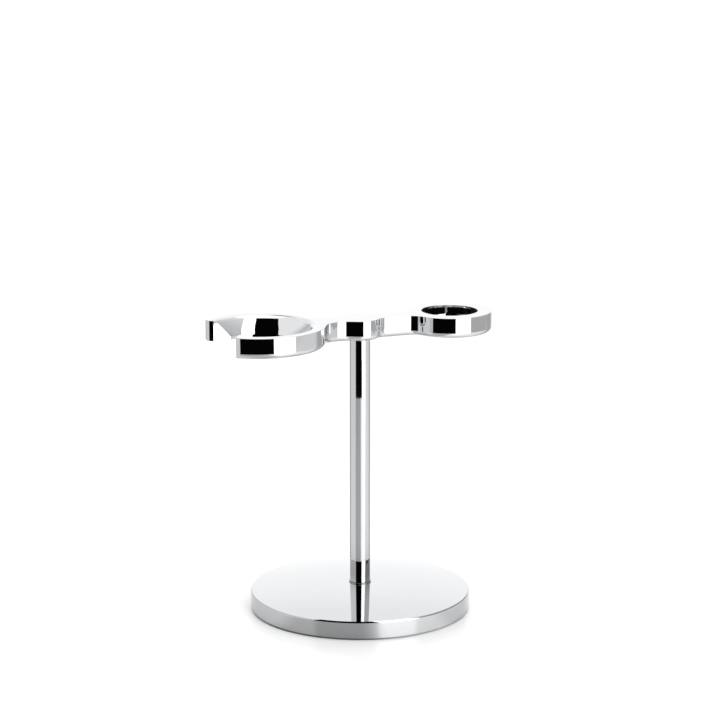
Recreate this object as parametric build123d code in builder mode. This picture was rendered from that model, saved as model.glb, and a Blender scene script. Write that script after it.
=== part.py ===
from build123d import *
import math
import os

# Stand for one shaving brush and one safety razor, in millimetres.
# +Z is up and the pad rests on Z = 0. The column stands on the Z axis, and the
# long holder lies along X: the brush fork at -X, the razor ring at +X.

# ---- driving dimensions ----

# weighted base
base_radius = 43.0
base_lift = 0.4
rim_height = 6.9
dome_rise = 2.6
base_roll_radius = 1.4
base_roll_angle = 36.0
base_foot_edge = 0.3
column_seat_radius = 4.6
underside_recess = 1.2

# anti-slip pad under the base
pad_radius = 38.3
pad_clearance = 0.2

# column and the thin ring at its foot
column_radius = 4.0
column_length = 97.8
column_edge = 0.15
foot_ring_radius = 4.35
foot_ring_height = 0.4

# M5 fasteners
thread_radius = 2.5
thread_clearance = 0.03
clearance_hole_radius = 2.75
screw_length = 16.0
screw_head_radius = 4.75
screw_head_height = 2.75
screw_socket_flats = 3.0
screw_socket_depth = 1.6
washer_radius = 5.0
washer_height = 1.0
lock_washer_radius = 4.4
lock_washer_height = 1.2
lock_washer_gap = 0.8
counterbore_radius = 6.2
stud_in_column = 10.0
stud_in_head = 5.4
stud_socket_flats = 2.5
stud_socket_depth = 3.0
thread_end_chamfer = 0.5
spare_hole_depth = 1.5
stud_hole_relief = 0.3

# holder: outline seen from above
head_thickness = 8.0
head_edge = 0.15
head_underside_round = 2.0
boss_radius = 8.0
brush_ring_offset = 40.7
brush_ring_radius = 24.8
web_radius = 9.3
razor_ring_offset = 37.8
razor_ring_radius = 16.5
arm_half_width = 4.1
arm_fillet = 5.0

# brush fork: open slot and bell-shaped seat
slot_half_width = 15.3
fork_tip_radius = 2.5
seat_rim_outer = 21.65
seat_rim_radius = 2.6
seat_break_angle = 33.0
seat_bell_radius = 25.0
seat_land_height = 1.1

# razor ring: bore, groove and split liner
razor_bore_radius = 11.0
groove_top_depth = 0.9
groove_height = 2.8
groove_radius = 12.0
liner_inner_radius = 10.8
liner_clearance = 0.05
liner_edge = 0.25
liner_split_width = 0.9
liner_split_angle = 73.0

# ---- heights that follow from them ----

base_bottom = base_lift
rim_top = base_bottom + rim_height
base_top = rim_top + dome_rise
pad_ceiling = base_bottom + underside_recess
foot_ring_top = base_top + foot_ring_height
column_top = foot_ring_top + column_length
head_bottom = column_top
head_top = head_bottom + head_thickness

screw_head_bottom = pad_ceiling + pad_clearance
screw_head_top = screw_head_bottom + screw_head_height
screw_tip = screw_head_top + screw_length
lock_washer_top = screw_head_top + lock_washer_height
counterbore_top = lock_washer_top + washer_height
stud_bottom = column_top - stud_in_column
stud_top = column_top + stud_in_head

liner_top = head_top - groove_top_depth - liner_clearance
liner_bottom = liner_top - groove_height + 2 * liner_clearance

os.makedirs("parts", exist_ok=True)


def save(piece, name):
    """Label one finished piece and write it as its own STEP file."""
    piece.label = name
    export_step(piece, f"parts/{name}.step")


# ---- base: a solid domed disc, hollowed underneath for the pad and the screw ----

# the rim's rolled top edge, and the dome that meets it in a crisp corner
roll_bottom = rim_top - base_roll_radius * math.sin(math.radians(base_roll_angle))
roll_inset = base_roll_radius * (1 - math.cos(math.radians(base_roll_angle)))
dome_edge = base_radius - roll_inset
dome_span = dome_edge - column_seat_radius
dome_radius = (dome_span**2 + dome_rise**2) / (2 * dome_rise)

with BuildPart() as base_disc:
    with BuildSketch(Plane.XZ):
        with BuildLine():
            Polyline(
                (column_seat_radius, base_top),
                (clearance_hole_radius, base_top),
                (clearance_hole_radius, counterbore_top),
                (counterbore_radius, counterbore_top),
                (counterbore_radius, pad_ceiling),
                (pad_radius + pad_clearance, pad_ceiling),
                (pad_radius + pad_clearance, base_bottom),
                (base_radius - base_foot_edge, base_bottom),
                (base_radius, base_bottom + base_foot_edge),
                (base_radius, roll_bottom),
            )
            RadiusArc((base_radius, roll_bottom), (dome_edge, rim_top), -base_roll_radius)
            RadiusArc((dome_edge, rim_top), (column_seat_radius, base_top), -dome_radius)
        make_face()
    revolve(axis=Axis.Z)
save(base_disc.part, "base_disc")

with BuildPart() as base_pad:
    with BuildSketch():
        Circle(pad_radius)
    extrude(amount=pad_ceiling)
save(base_pad.part, "base_pad")

# ---- fasteners under the base ----

with BuildPart() as base_screw:
    with BuildSketch(Plane.XY.offset(screw_head_bottom)):
        Circle(screw_head_radius)
    extrude(amount=screw_head_height)
    head_rim = base_screw.edges().sort_by(Axis.Z)[0]
    fillet(head_rim, radius=screw_head_height / 2)
    with BuildSketch(Plane.XY.offset(screw_head_top)):
        Circle(thread_radius - thread_clearance)
    extrude(amount=screw_length)
    chamfer(base_screw.edges().sort_by(Axis.Z)[-1], length=thread_end_chamfer)
    with BuildSketch(Plane.XY.offset(screw_head_bottom)):
        RegularPolygon(screw_socket_flats / 2, 6, major_radius=False)
    extrude(amount=screw_socket_depth, mode=Mode.SUBTRACT)
save(base_screw.part, "base_screw")

with BuildPart() as lock_washer:
    with BuildSketch(Plane.XY.offset(screw_head_top)):
        Circle(lock_washer_radius)
        Circle(clearance_hole_radius, mode=Mode.SUBTRACT)
        with Locations((lock_washer_radius, 0)):
            Rectangle(2 * lock_washer_radius, lock_washer_gap, rotation=20, mode=Mode.SUBTRACT)
    extrude(amount=lock_washer_height)
save(lock_washer.part, "lock_washer")

with BuildPart() as flat_washer:
    with BuildSketch(Plane.XY.offset(lock_washer_top)):
        Circle(washer_radius)
        Circle(clearance_hole_radius, mode=Mode.SUBTRACT)
    extrude(amount=washer_height)
save(flat_washer.part, "flat_washer")

# ---- column: a round bar tapped at both ends, on a thin foot ring ----

with BuildPart() as foot_ring:
    with BuildSketch(Plane.XY.offset(base_top)):
        Circle(foot_ring_radius)
        Circle(clearance_hole_radius, mode=Mode.SUBTRACT)
    extrude(amount=foot_ring_height)
save(foot_ring.part, "foot_ring")

with BuildPart() as column:
    with BuildSketch(Plane.XY.offset(foot_ring_top)):
        Circle(column_radius)
    extrude(amount=column_length)
    chamfer(column.edges().filter_by(GeomType.CIRCLE), length=column_edge)
    with BuildSketch(Plane.XY.offset(foot_ring_top)):
        Circle(thread_radius)
    extrude(amount=screw_tip - foot_ring_top + spare_hole_depth, mode=Mode.SUBTRACT)
    with BuildSketch(Plane.XY.offset(column_top)):
        Circle(thread_radius)
    extrude(amount=-(stud_in_column + spare_hole_depth), mode=Mode.SUBTRACT)
save(column.part, "column")

with BuildPart() as head_stud:
    with BuildSketch(Plane.XY.offset(stud_bottom)):
        Circle(thread_radius - thread_clearance)
    extrude(amount=stud_top - stud_bottom)
    chamfer(head_stud.edges().filter_by(GeomType.CIRCLE), length=thread_end_chamfer)
    with BuildSketch(Plane.XY.offset(stud_bottom)):
        RegularPolygon(stud_socket_flats / 2, 6, major_radius=False)
    extrude(amount=stud_socket_depth, mode=Mode.SUBTRACT)
save(head_stud.part, "head_stud")

# ---- holder: brush fork, boss, arm and razor ring in one casting ----

# centre of the concave web that is tangent to the brush ring and to the boss
ring_reach = brush_ring_radius + web_radius
boss_reach = boss_radius + web_radius
web_x = (ring_reach**2 - boss_reach**2 - brush_ring_offset**2) / (2 * brush_ring_offset)
web_y = math.sqrt(boss_reach**2 - web_x**2)

# the seat's generating line: a land, a gentle bell, then a round that meets the flat top
break_angle = math.radians(seat_break_angle)
bell_top_radius = seat_rim_outer - seat_rim_radius * math.cos(break_angle)
bell_top = head_top - seat_rim_radius * (1 - math.sin(break_angle))
bell_bottom = head_bottom + seat_land_height
bell_angle = math.asin(math.sin(break_angle) - (bell_top - bell_bottom) / seat_bell_radius)
bell_flare = seat_bell_radius * (math.cos(bell_angle) - math.cos(break_angle))
seat_land_radius = bell_top_radius - bell_flare

fork_section = Plane(origin=(-brush_ring_offset, 0, 0), x_dir=(1, 0, 0), z_dir=(0, -1, 0))
fork_axis = Axis(origin=(-brush_ring_offset, 0, 0), direction=(0, 0, 1))
razor_section = Plane(origin=(razor_ring_offset, 0, 0), x_dir=(1, 0, 0), z_dir=(0, -1, 0))
razor_axis = Axis(origin=(razor_ring_offset, 0, 0), direction=(0, 0, 1))

with BuildPart() as holder_head:
    # closed silhouette, with the underside's outer edge rounded all the way round
    with BuildSketch(Plane.XY.offset(head_bottom)) as silhouette:
        Circle(boss_radius)
        with Locations((-brush_ring_offset, 0)):
            Circle(brush_ring_radius)
        Polygon(
            (-brush_ring_offset, 0),
            (web_x, web_y),
            (0, 0),
            (web_x, -web_y),
            align=None,
        )
        with Locations((web_x, web_y), (web_x, -web_y)):
            Circle(web_radius, mode=Mode.SUBTRACT)
        with Locations((razor_ring_offset, 0)):
            Circle(razor_ring_radius)
        with Locations((razor_ring_offset / 2, 0)):
            Rectangle(razor_ring_offset, 2 * arm_half_width)
        arm_corners = silhouette.vertices().filter_by_position(Axis.X, 1, razor_ring_offset - 1)
        fillet(arm_corners, radius=arm_fillet)
    extrude(amount=head_thickness)
    underside = holder_head.faces().sort_by(Axis.Z)[0]
    fillet(underside.edges(), radius=head_underside_round)

    # brush slot with rounded tips, brush hole and razor hole
    with BuildSketch(Plane.XY.offset(head_bottom)) as openings:
        add(silhouette.sketch_local)
        with Locations((-brush_ring_offset - brush_ring_radius, 0)):
            Rectangle(2 * brush_ring_radius, 2 * slot_half_width, mode=Mode.SUBTRACT)
        with Locations((-brush_ring_offset, 0)):
            Circle(seat_land_radius, mode=Mode.SUBTRACT)
        fillet(openings.vertices().sort_by(Axis.X)[0:2], radius=fork_tip_radius)
        with Locations((razor_ring_offset, 0)):
            Circle(razor_bore_radius, mode=Mode.SUBTRACT)
    extrude(amount=head_thickness, mode=Mode.INTERSECT)
    flat_top = holder_head.faces().sort_by(Axis.Z)[-1]
    chamfer(flat_top.edges(), length=head_edge)

    # bell-shaped seat for the brush; its rim already meets the flat top smoothly
    with BuildSketch(fork_section):
        with BuildLine():
            Polyline(
                (seat_land_radius, bell_bottom),
                (0, bell_bottom),
                (0, head_top),
                (seat_rim_outer, head_top),
            )
            RadiusArc(
                (seat_land_radius, bell_bottom),
                (bell_top_radius, bell_top),
                seat_bell_radius,
            )
            RadiusArc((bell_top_radius, bell_top), (seat_rim_outer, head_top), seat_rim_radius)
        make_face()
    revolve(axis=fork_axis, mode=Mode.SUBTRACT)

    # groove for the liner in the razor ring
    with BuildSketch(razor_section):
        with Locations((0, head_top - groove_top_depth)):
            Rectangle(groove_radius, groove_height, align=(Align.MIN, Align.MAX))
    revolve(axis=razor_axis, mode=Mode.SUBTRACT)

    # blind threaded hole under the boss
    with BuildSketch(Plane.XY.offset(head_bottom)):
        Circle(thread_radius)
    extrude(amount=stud_in_head + stud_hole_relief, mode=Mode.SUBTRACT)
save(holder_head.part, "holder_head")

# ---- split liner that snaps into the groove of the razor ring ----

with BuildPart() as razor_ring_liner:
    with BuildSketch(Plane.XY.offset(liner_bottom)):
        with Locations((razor_ring_offset, 0)):
            Circle(groove_radius - liner_clearance)
            Circle(liner_inner_radius, mode=Mode.SUBTRACT)
    extrude(amount=liner_top - liner_bottom)
    inner_rims = razor_ring_liner.edges().filter_by(
        lambda edge: edge.geom_type == GeomType.CIRCLE and edge.radius < razor_bore_radius
    )
    fillet(inner_rims, radius=liner_edge)
    split_plane = Plane(
        origin=(razor_ring_offset, 0, liner_bottom),
        x_dir=Vector(1, 0, 0).rotate(Axis.Z, liner_split_angle),
    )
    with BuildSketch(split_plane):
        with Locations((razor_bore_radius, 0)):
            Rectangle(razor_bore_radius, liner_split_width)
    extrude(amount=liner_top - liner_bottom, mode=Mode.SUBTRACT)
save(razor_ring_liner.part, "razor_ring_liner")
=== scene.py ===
"""Studio scene for the chromed shaving stand: camera, studio light, floor and finishes.

Places on the stage are in metres, as the camera sees them: +x to its right, +y away from it, and
the stand's column at the origin. Azimuths and bearings are degrees round the column, 0 towards the
camera and + to its right.
"""

import math

import bpy
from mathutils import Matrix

WHITE = (1, 1, 1, 1)
BLACK = (0, 0, 0, 1)

# ---- camera ----
VIEW_AZIMUTH = -22.08  # degrees from -Y, so that the brush fork is at the left and nearer
CAMERA_DISTANCE = 0.9457  # level distance from the column's axis
CAMERA_HEIGHT = 0.3076
CAMERA_PITCH = 12.424  # degrees below the horizon
LENS = 125.1  # millimetres, like the sensor's width
SENSOR_WIDTH = 36.0
YAW = math.radians(VIEW_AZIMUTH)

# ---- studio: the azimuths of each part and their softness, then its elevations likewise ----
NADIR = -90.0
WALL_TOP = 62.0
DARK_LEFT = -48.0
DARK_RIGHT = 44.0
RIGHT_WALL = ((DARK_RIGHT, 150.0, 2.0), (NADIR, WALL_TOP, 4.0))
LEFT_WALL = ((-150.0, DARK_LEFT, 2.0), (NADIR, WALL_TOP, 4.0))
DOORWAY = ((74.0, 100.0, 4.0), (-5.0, 5.0, 2.0))  # in the right wall
BLACK_FLAG = ((-172.0, -156.0, 3.0), (42.0, 58.0, 3.0))  # high at the back left
DARK_ROOM = ((DARK_LEFT, DARK_RIGHT, 1.0), (NADIR, 56.0, 2.0))  # behind the camera

# ---- studio: lights; a fade holds two elevations, then the light below and above them ----
CYCLORAMA_FADE = (20.0, 30.0, 1.32, 1.25)
CEILING_EDGE = (36.0, 44.0)
CEILING_LIGHT = 1.7
RIGHT_FADE = (12.0, 26.0, 0.35, 0.8)
RIGHT_EXTRA = (24.0, 56.0, 0.0, 0.32)  # added to the fade above
RIGHT_FOOT_EDGE = (-8.0, -4.0, 1.0, 0.0)  # 1 at the foot of the right wall, 0 above it
RIGHT_FOOT_LIGHT = 0.62
LEFT_FADE = (12.0, 24.0, 0.75, 1.27)
DOORWAY_LIGHT = 0.05
FLAG_LIGHT = 0.03
DARK_ROOM_LIGHT = 0.002
SEEN_LIGHT = 1.1  # what the camera sees directly

# ---- floor ----
FLOOR_DROP = 5e-5  # keeps it just clear of the pad
FLOOR_ROUGHNESS = 0.3
FLOOR_FRONT = 0.365  # its reach towards the dark room
FLOOR_EDGE = (  # bearings and distances of its corners
    (-90, 1.2),
    (-55, 1.2),
    *((turn, FLOOR_FRONT) for turn in (-55, -45, -30, -15, 0, 10, 22)),
    (22, 0.6),
    (45, 0.62),
    (57, 0.6),
    (60, 0.556),
    (75, 0.546),
    (95, 0.546),
    (112, 0.55),
    (130, 0.8),
    (155, 1.7),
    (180, 1.7),
    (215, 1.7),
    (245, 1.3),
)
FLOOR_TONE = 0.85
FLOOR_SECTORS = (  # bearings from and to, their softness and the tone between them: painted light and shade, seen in reflections
    (-50.0, 9.0, 20.0, 0.56),
    (57.0, 118.0, 16.0, 0.97),
    (118.0, 160.0, 16.0, 0.5),
    (-165.0, -124.0, 16.0, 0.3),
)
BASE_SHADE = (0.05, 0.1, 0.8, 1.0)  # painted shade on the floor round the base: two distances, then the share of the tone within and beyond
PAINTED_LIGHT_SECTOR = (9.0, 57.0, 18.0)  # painted light on the floor before the softbox, seen in reflections
FLOOR_PAINTED_LIGHT = 0.32
SEEN_TONE = 0.9  # what the camera sees directly

# ---- softbox: near, at the right of the camera, leaning to the left ----
SOFTBOX = (
    (0.157, -0.431, 0.0),
    (0.446, -0.243, 0.0),
    (0.260, -0.325, 0.9),
    (0.055, -0.431, 0.9),
)
SOFTBOX_LIGHT = 2.7

# A Mix node has sockets for each type of data: the numbers of its inputs A and B and of its result.
MIX_SOCKETS = {"FLOAT": (2, 3, 0), "RGBA": (6, 7, 2)}

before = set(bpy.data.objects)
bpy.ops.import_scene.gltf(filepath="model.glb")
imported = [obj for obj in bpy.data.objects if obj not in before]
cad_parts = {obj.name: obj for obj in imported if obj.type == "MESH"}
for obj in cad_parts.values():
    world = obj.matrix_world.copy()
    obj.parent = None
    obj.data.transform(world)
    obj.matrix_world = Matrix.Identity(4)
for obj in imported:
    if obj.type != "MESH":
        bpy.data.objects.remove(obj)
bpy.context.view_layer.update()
scene = bpy.context.scene
scene.view_settings.view_transform = "Standard"


# ---- node helpers ----


def new_material(name):
    """A material with a Principled shader; returns the material, its tree and the shader."""
    material = bpy.data.materials.new(name)
    material.use_nodes = True
    tree = material.node_tree
    return material, tree, tree.nodes["Principled BSDF"]


def add(tree, kind, **settings):
    """A new node with its properties set."""
    node = tree.nodes.new(kind)
    for key, value in settings.items():
        setattr(node, key, value)
    return node


def feed(tree, source, target):
    """Joins two sockets, or sets the target socket to a constant."""
    if isinstance(source, bpy.types.NodeSocket):
        tree.links.new(source, target)
    else:
        target.default_value = source


def maths(tree, operation, *values):
    """A Math node's result."""
    node = add(tree, "ShaderNodeMath", operation=operation)
    for value, socket in zip(values, node.inputs):
        feed(tree, value, socket)
    return node.outputs[0]


def ramp(tree, source, start, end, low=0.0, high=1.0):
    """low before start, high after end, and a smooth step between them."""
    node = add(tree, "ShaderNodeMapRange", interpolation_type="SMOOTHSTEP")
    feed(tree, source, node.inputs["Value"])
    for name, value in (("From Min", start), ("From Max", end), ("To Min", low), ("To Max", high)):
        feed(tree, value, node.inputs[name])
    return node.outputs[0]


def band(tree, source, start, end, soft):
    """1 between start and end, 0 outside, with edges soft wide."""
    rise = ramp(tree, source, start - soft / 2, start + soft / 2)
    fall = ramp(tree, source, end - soft / 2, end + soft / 2, 1.0, 0.0)
    return maths(tree, "MULTIPLY", rise, fall)


def blend(tree, mask, under, over, data_type="FLOAT"):
    """under where mask is 0 and over where it is 1."""
    under_socket, over_socket, result = MIX_SOCKETS[data_type]
    node = add(tree, "ShaderNodeMix", data_type=data_type)
    feed(tree, mask, node.inputs["Factor"])
    feed(tree, under, node.inputs[under_socket])
    feed(tree, over, node.inputs[over_socket])
    return node.outputs[result]


def split(tree, vector):
    """A vector's X, Y and Z."""
    node = add(tree, "ShaderNodeSeparateXYZ")
    feed(tree, vector, node.inputs[0])
    return node.outputs[:]


def bearing_of(tree, x, y):
    """Degrees round the column, 0 towards the camera and + to its right."""
    return maths(tree, "DEGREES", maths(tree, "ARCTAN2", x, maths(tree, "MULTIPLY", y, -1.0)))


def seen_directly(tree):
    """1 for what the camera sees directly, 0 for reflections and light."""
    return add(tree, "ShaderNodeLightPath").outputs["Is Camera Ray"]


# ---- camera and stage ----


def make_camera():
    """The camera, level with the horizon, looking down at the stand."""
    camera = bpy.data.objects.new("camera", bpy.data.cameras.new("camera"))
    scene.collection.objects.link(camera)
    scene.camera = camera
    camera.data.lens = LENS
    camera.data.sensor_width = SENSOR_WIDTH
    camera.location = (
        CAMERA_DISTANCE * math.sin(YAW),
        -CAMERA_DISTANCE * math.cos(YAW),
        CAMERA_HEIGHT,
    )
    camera.rotation_euler = (math.radians(90 - CAMERA_PITCH), 0, YAW)


def make_studio():
    """The world: a white cyclorama, a bright ceiling, side walls and the dark room."""
    world = bpy.data.worlds.new("studio")
    scene.world = world
    world.use_nodes = True
    sky = world.node_tree
    sky.nodes.clear()
    turned = add(sky, "ShaderNodeVectorRotate", rotation_type="Z_AXIS")
    feed(sky, add(sky, "ShaderNodeTexCoord").outputs["Generated"], turned.inputs["Vector"])
    turned.inputs["Angle"].default_value = -YAW
    x, y, z = split(sky, turned.outputs[0])
    azimuth = bearing_of(sky, x, y)
    elevation = maths(sky, "DEGREES", maths(sky, "ARCSINE", z))

    light = ramp(sky, elevation, *CYCLORAMA_FADE)
    light = blend(sky, ramp(sky, elevation, *CEILING_EDGE), light, CEILING_LIGHT)
    right_extra = ramp(sky, elevation, *RIGHT_EXTRA)
    right_light = maths(sky, "ADD", ramp(sky, elevation, *RIGHT_FADE), right_extra)
    right_foot = ramp(sky, elevation, *RIGHT_FOOT_EDGE)
    right_light = blend(sky, right_foot, right_light, RIGHT_FOOT_LIGHT)
    for (azimuths, elevations), strength in (
        (RIGHT_WALL, right_light),
        (DOORWAY, DOORWAY_LIGHT),
        (LEFT_WALL, ramp(sky, elevation, *LEFT_FADE)),
        (BLACK_FLAG, FLAG_LIGHT),
        (DARK_ROOM, DARK_ROOM_LIGHT),
    ):
        across = band(sky, azimuth, *azimuths)
        upright = band(sky, elevation, *elevations)
        light = blend(sky, maths(sky, "MULTIPLY", across, upright), light, strength)
    light = blend(sky, seen_directly(sky), light, SEEN_LIGHT)

    background = add(sky, "ShaderNodeBackground")
    background.inputs["Color"].default_value = WHITE
    feed(sky, light, background.inputs["Strength"])
    output = add(sky, "ShaderNodeOutputWorld")
    feed(sky, background.outputs[0], output.inputs["Surface"])


def stage_mesh(name, corners, material):
    """A piece of the stage with one face, its corners given as the camera sees them."""
    mesh = bpy.data.meshes.new(name)
    mesh.from_pydata(corners, [], [tuple(range(len(corners)))])
    mesh.materials.append(material)
    piece = bpy.data.objects.new(name, mesh)
    scene.collection.objects.link(piece)
    piece.rotation_euler = (0, 0, YAW)
    return piece


def floor_finish():
    """Pale floor: even where the camera sees it directly. Reflections show it with painted light and
    shade in place of the uneven light on a studio's floor: toned by bearing, with painted shade
    round the base and a painted glow before the softbox."""
    material, tree, shader = new_material("floor_white")
    shader.inputs["Roughness"].default_value = FLOOR_ROUGHNESS
    x, y, _ = split(tree, add(tree, "ShaderNodeTexCoord").outputs["Object"])
    bearing = bearing_of(tree, x, y)
    # painted light and shade: the floor's tone by bearing, seen only in reflections
    tone = FLOOR_TONE
    for start, end, soft, value in FLOOR_SECTORS:
        tone = blend(tree, band(tree, bearing, start, end, soft), tone, value)
    squares = maths(tree, "ADD", maths(tree, "MULTIPLY", x, x), maths(tree, "MULTIPLY", y, y))
    distance = maths(tree, "SQRT", squares)
    # painted shade: the floor darker within reach of the base, seen only in reflections
    tone = maths(tree, "MULTIPLY", tone, ramp(tree, distance, *BASE_SHADE))
    # painted light: the floor glows in reflections before the softbox, though it is no lamp
    painted_light = maths(tree, "MULTIPLY", band(tree, bearing, *PAINTED_LIGHT_SECTOR), FLOOR_PAINTED_LIGHT)
    seen = seen_directly(tree)
    feed(tree, blend(tree, seen, tone, SEEN_TONE), shader.inputs["Base Color"])
    shader.inputs["Emission Color"].default_value = WHITE
    feed(tree, blend(tree, seen, painted_light, 0.0), shader.inputs["Emission Strength"])
    return material


def softbox_finish():
    """A black panel that glows white."""
    material, _, shader = new_material("luminous_panel")
    shader.inputs["Base Color"].default_value = BLACK
    shader.inputs["Emission Color"].default_value = WHITE
    shader.inputs["Emission Strength"].default_value = SOFTBOX_LIGHT
    return material


def make_floor():
    """The floor, just clear of the pad."""
    edge = ((math.radians(turn), reach) for turn, reach in FLOOR_EDGE)
    corners = [(reach * math.sin(turn), -reach * math.cos(turn), 0.0) for turn, reach in edge]
    floor = stage_mesh("floor", corners, floor_finish())
    floor.location.z = -FLOOR_DROP


def make_softbox():
    """The softbox, which the camera doesn't see directly."""
    panel = stage_mesh("softbox", SOFTBOX, softbox_finish())
    panel.visible_camera = False


# ---- finishes ----


def noise(tree, place, scale, detail=3.0, stretch=None):
    """A noise texture's value, from the object's own coordinates in metres."""
    if stretch is not None:
        node = add(tree, "ShaderNodeMapping")
        feed(tree, place, node.inputs["Vector"])
        node.inputs["Scale"].default_value = stretch
        place = node.outputs[0]
    node = add(tree, "ShaderNodeTexNoise")
    feed(tree, place, node.inputs["Vector"])
    node.inputs["Scale"].default_value = scale
    node.inputs["Detail"].default_value = detail
    return node.outputs["Fac"]


def relief(tree, shader, height, distance):
    """Bump from a height between 0 and 1, distance metres deep."""
    node = add(tree, "ShaderNodeBump")
    feed(tree, height, node.inputs["Height"])
    node.inputs["Distance"].default_value = distance
    feed(tree, node.outputs[0], shader.inputs["Normal"])


def tint(tree, shader, mask, low, high):
    """Base colour, from low where mask is 0 to high where it is 1."""
    feed(tree, blend(tree, mask, (*low, 1), (*high, 1), "RGBA"), shader.inputs["Base Color"])


def mirror_chrome(name, brushing):
    """Polished chrome plate: a mirror with faint haze, hairlines and soft waves. brushing scales the
    hairlines' noise along each axis: high across them and low along them."""
    material, tree, shader = new_material(name)
    shader.inputs["Metallic"].default_value = 1.0
    place = add(tree, "ShaderNodeTexCoord").outputs["Object"]
    haze = noise(tree, place, scale=90.0, detail=6.0)
    scratches = noise(tree, place, scale=1.0, detail=2.0, stretch=brushing)
    hairlines = ramp(tree, scratches, start=0.62, end=0.8, low=0.0, high=0.02)
    polish = ramp(tree, haze, start=0.35, end=0.75, low=0.012, high=0.035)
    feed(tree, maths(tree, "ADD", polish, hairlines), shader.inputs["Roughness"])
    tint(tree, shader, haze, low=(0.595, 0.602, 0.614), high=(0.61, 0.615, 0.623))
    waves = noise(tree, place, scale=55.0, detail=1.0)
    relief(tree, shader, waves, distance=4e-6)
    return material


def zinc_plate(name):
    """Bright zinc on steel, with the patchy crystal look of plating."""
    material, tree, shader = new_material(name)
    shader.inputs["Metallic"].default_value = 1.0
    place = add(tree, "ShaderNodeTexCoord").outputs["Object"]
    patches = noise(tree, place, scale=900.0, detail=4.0)
    polish = ramp(tree, patches, start=0.3, end=0.7, low=0.2, high=0.42)
    feed(tree, polish, shader.inputs["Roughness"])
    tint(tree, shader, patches, low=(0.46, 0.47, 0.5), high=(0.58, 0.58, 0.57))
    crystals = noise(tree, place, scale=4000.0)
    relief(tree, shader, crystals, distance=1e-5)
    return material


def foam_rubber(name):
    """Matt black foam rubber, with the fine open cells of its cut face."""
    material, tree, shader = new_material(name)
    place = add(tree, "ShaderNodeTexCoord").outputs["Object"]
    cells = add(tree, "ShaderNodeTexVoronoi")
    feed(tree, place, cells.inputs["Vector"])
    cells.inputs["Scale"].default_value = 2200.0
    dust = noise(tree, place, scale=160.0, detail=5.0)
    tint(tree, shader, dust, low=(0.016, 0.016, 0.017), high=(0.034, 0.033, 0.032))
    dullness = ramp(tree, dust, start=0.3, end=0.7, low=0.72, high=0.9)
    feed(tree, dullness, shader.inputs["Roughness"])
    relief(tree, shader, cells.outputs["Distance"], distance=8e-5)
    return material


def turned_ring(name):
    """Thin steel ring with fine turning marks round the column."""
    material, tree, shader = new_material(name)
    shader.inputs["Metallic"].default_value = 1.0
    place = add(tree, "ShaderNodeTexCoord").outputs["Object"]
    marks = noise(tree, place, scale=1.0, detail=2.0, stretch=(300.0, 300.0, 9000.0))
    tint(tree, shader, marks, low=(0.3, 0.3, 0.31), high=(0.42, 0.42, 0.43))
    polish = ramp(tree, marks, start=0.3, end=0.7, low=0.12, high=0.25)
    feed(tree, polish, shader.inputs["Roughness"])
    return material


def moulded_plastic(name):
    """Black moulded plastic, satin and with little shine, with a very fine mould grain."""
    material, tree, shader = new_material(name)
    shader.inputs["Specular IOR Level"].default_value = 0.03
    place = add(tree, "ShaderNodeTexCoord").outputs["Object"]
    grain = noise(tree, place, scale=3500.0)
    tint(tree, shader, grain, low=(0.0008, 0.0008, 0.0008), high=(0.0015, 0.0015, 0.0016))
    satin = ramp(tree, grain, start=0.3, end=0.7, low=0.06, high=0.12)
    feed(tree, satin, shader.inputs["Roughness"])
    relief(tree, shader, grain, distance=2e-6)
    return material


# ---- the scene ----

make_camera()
make_studio()

make_floor()
make_softbox()

zinc = zinc_plate("zinc_steel")
finishes = {
    "base_disc": mirror_chrome("chrome_base", brushing=(1500.0, 60.0, 1500.0)),
    "column": mirror_chrome("chrome_column", brushing=(2500.0, 2500.0, 40.0)),
    "holder_head": mirror_chrome("chrome_holder", brushing=(60.0, 1500.0, 1500.0)),
    "base_pad": foam_rubber("black_rubber"),
    "foot_ring": turned_ring("turned_steel"),
    "razor_ring_liner": moulded_plastic("black_plastic"),
    "base_screw": zinc,
    "lock_washer": zinc,
    "flat_washer": zinc,
    "head_stud": zinc,
}
for node, finish in finishes.items():
    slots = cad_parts[node].data.materials
    for index in range(len(slots)):
        slots[index] = finish
